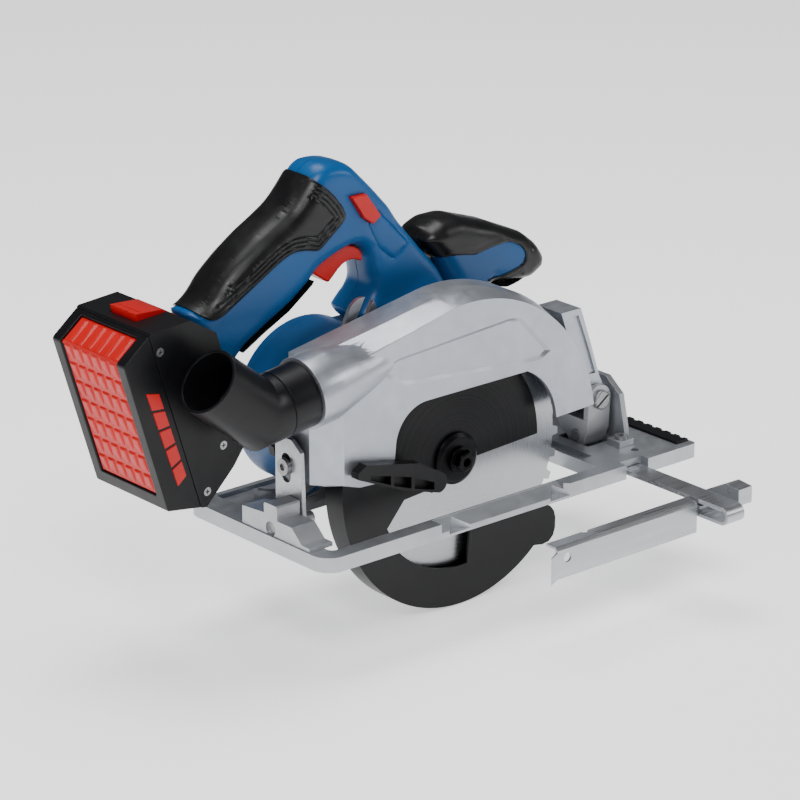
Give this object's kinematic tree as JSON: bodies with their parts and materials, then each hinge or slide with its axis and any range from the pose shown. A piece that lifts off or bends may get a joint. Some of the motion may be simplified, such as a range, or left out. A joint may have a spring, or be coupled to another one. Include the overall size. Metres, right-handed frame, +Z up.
{
  "type": "circular saw",
  "caption": "Battery-powered hand-held circular saw with bevel and depth adjustment, swinging blade guard, dust elbow, edge guide and slide-on battery pack.",
  "frame": {"origin": "on the base plate's sole (the face that slides on the work), midway along the plate and midway across it", "axes": "+X the direction of cutting, +Y towards the motor side, +Z up from the sole; the blade and the lower guard hang below z = 0"},
  "size_m": [0.3818, 0.2141, 0.2745],
  "materials": {
    "base_aluminium": "satin, cast then machined",
    "guard_silver": "fine-textured silver paint on die-cast alloy",
    "cast_grey": "as cast, satin",
    "sheet_steel": "zinc plated, satin",
    "screw_steel": "dark zinc",
    "black_steel": "blackened",
    "bearing_steel": "ground",
    "spring_steel": "plain",
    "motor_steel": "laminated steel with windings",
    "blade_steel": "ground, circular brushing",
    "blue_plastic": "fine-textured",
    "black_plastic": "fine-textured",
    "black_rubber": "soft overmould",
    "red_plastic": "satin",
    "board_green": "lacquered board",
    "cell_wrap": "shrink wrap"
  },
  "bodies": {
    "base": {"base_plate": "base_aluminium", "cut_line_scale": "black_plastic", "bevel_block": "cast_grey", "bevel_quadrant": "base_aluminium", "quadrant_screws": "screw_steel", "bevel_pins": "screw_steel"},
    "tilt_frame": {"front_bracket": "cast_grey", "depth_guide": "sheet_steel", "depth_pivot_screw": "screw_steel", "bevel_stop_bolt": "screw_steel"},
    "saw": {"upper_guard": "guard_silver", "guard_spring": "spring_steel", "guard_screws": "screw_steel", "dust_collar": "black_plastic", "gear_case": "cast_grey", "hinge_arm": "guard_silver", "spindle_bearings": "bearing_steel", "motor_bearings": "bearing_steel", "motor_stator": "motor_steel", "motor_housing": "blue_plastic", "motor_end_cap": "blue_plastic", "housing_screws": "screw_steel", "depth_bolt": "screw_steel", "handle_shell_right": "blue_plastic", "handle_shell_left": "blue_plastic", "handle_screws": "screw_steel", "rear_grip": "black_rubber", "grip_underside": "black_rubber", "switch_block": "black_plastic", "control_board": "board_green", "front_handle_core": "blue_plastic", "front_handle_grip": "black_rubber"},
    "blade_set": {"blade": "blade_steel", "inner_flange": "sheet_steel", "outer_flange": "black_steel", "blade_bolt": "black_steel", "spindle": "bearing_steel", "drive_gear": "bearing_steel"},
    "rotor": {"motor_shaft": "bearing_steel", "motor_rotor": "motor_steel", "cooling_fan": "black_plastic"},
    "swing_guard": {"lower_guard": "black_plastic", "guard_lever": "black_plastic"},
    "trigger": {"trigger": "red_plastic"},
    "lock_off": {"lock_off_button": "red_plastic"},
    "spindle_lock": {"spindle_lock_button": "black_plastic"},
    "depth_lever": {"depth_lever": "black_plastic"},
    "elbow": {"dust_elbow": "black_plastic"},
    "battery": {"battery_tub": "black_plastic", "battery_lid": "black_plastic", "battery_panel": "red_plastic", "battery_cells": "cell_wrap", "battery_board": "board_green", "battery_screws": "screw_steel"},
    "latch": {"battery_latch": "red_plastic"},
    "guide": {"parallel_guide": "sheet_steel", "guide_fence": "sheet_steel"},
    "guide_clamp": {"guide_clamp_screw": "black_plastic"},
    "bevel_lock": {"bevel_lock_screw": "black_plastic"}
  },
  "joints": [
    {"name": "bevel_tilt", "type": "hinge", "parent": "base", "child": "tilt_frame", "pos_m": [0, -0.014, 0.013], "axis": [1, 0, 0], "range_deg": [0, 45]},
    {"name": "depth_lift", "type": "hinge", "parent": "tilt_frame", "child": "saw", "pos_m": [0.103, -0.012, 0.036], "axis": [0, 1, 0], "range_deg": [0, 28]},
    {"name": "blade_spin", "type": "hinge", "parent": "saw", "child": "blade_set", "pos_m": [-0.0114, -0.02, 0.0255], "axis": [0, 1, 0], "continuous": true},
    {"name": "rotor_spin", "type": "hinge", "parent": "saw", "child": "rotor", "pos_m": [-0.03391, 0.024, 0.03929], "axis": [0, 1, 0], "continuous": true},
    {"name": "guard_swing", "type": "hinge", "parent": "saw", "child": "swing_guard", "pos_m": [-0.0114, -0.019, 0.0255], "axis": [0, 1, 0], "range_deg": [0, 110], "stiffness_Nm_per_rad": 0.12, "springref_deg": -57.3},
    {"name": "trigger_pull", "type": "slide", "parent": "saw", "child": "trigger", "axis": [-0.6392, 0, 0.769], "range_m": [0, 0.005], "stiffness_N_per_m": 1200, "springref_m": -0.004},
    {"name": "lock_off_press", "type": "slide", "parent": "saw", "child": "lock_off", "axis": [0, 1, 0], "range_m": [0, 0.0035], "stiffness_N_per_m": 900, "springref_m": -0.003},
    {"name": "spindle_lock_press", "type": "slide", "parent": "saw", "child": "spindle_lock", "axis": [0.2936, 0, -0.9559], "range_m": [0, 0.002], "stiffness_N_per_m": 2500, "springref_m": -0.003},
    {"name": "depth_lever_turn", "type": "hinge", "parent": "saw", "child": "depth_lever", "pos_m": [-0.08389, 0.007, 0.04253], "axis": [0, 1, 0], "range_deg": [0, 60]},
    {"name": "elbow_turn", "type": "hinge", "parent": "saw", "child": "elbow", "pos_m": [-0.14893, -0.024, 0.09147], "axis": [0.9914, 0, 0.1305], "range_deg": [0, 180]},
    {"name": "battery_slide", "type": "slide", "parent": "saw", "child": "battery", "axis": [-0.294, 0, 0.9558], "range_m": [0, 0.09]},
    {"name": "latch_press", "type": "slide", "parent": "battery", "child": "latch", "axis": [0.294, 0, -0.9558], "range_m": [0, 0.0015], "stiffness_N_per_m": 3000, "springref_m": -0.002},
    {"name": "guide_slide", "type": "slide", "parent": "base", "child": "guide", "axis": [0, 1, 0], "range_m": [-0.06, 0.045]},
    {"name": "guide_clamp_turn", "type": "hinge", "parent": "base", "child": "guide_clamp", "pos_m": [0.096, 0.03, 0.014], "axis": [0, 0, 1], "range_deg": [0, 270]},
    {"name": "bevel_lock_turn", "type": "hinge", "parent": "tilt_frame", "child": "bevel_lock", "pos_m": [0.112, 0.01047, 0.02441], "axis": [1, 0, 0], "range_deg": [0, 90]}
  ],
  "couplings": [
    {"joint": "rotor_spin", "follows": "blade_spin", "ratio": -3.8}
  ]
}
